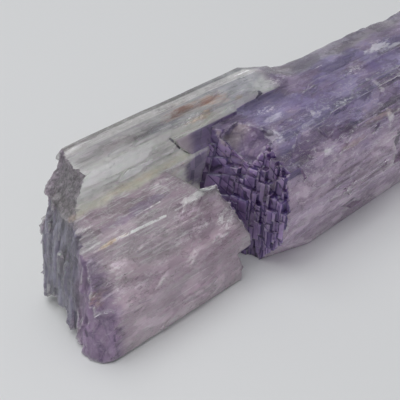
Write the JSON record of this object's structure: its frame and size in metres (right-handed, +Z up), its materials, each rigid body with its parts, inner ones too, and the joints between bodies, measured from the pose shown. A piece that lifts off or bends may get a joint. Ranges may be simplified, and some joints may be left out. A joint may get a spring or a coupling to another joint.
{
  "type": "kunzite crystal",
  "caption": "Long striated kunzite crystal, a parallel intergrowth lying on its side, with a broken end, a deeply etched step and a rough far end.",
  "frame": {"origin": "on the surface the crystal lies on, under the middle of its bounding box", "axes": "+X along the crystal from the broken end to the far end, +Y to the back, +Z up"},
  "size_m": [0.1104, 0.0264, 0.0274],
  "materials": {
    "kunzite": "natural crystal faces, striated along their length, clear to milky violet, frosted where etched or broken"
  },
  "bodies": {
    "root": {"kunzite_crystal": "kunzite"}
  },
  "joints": []
}
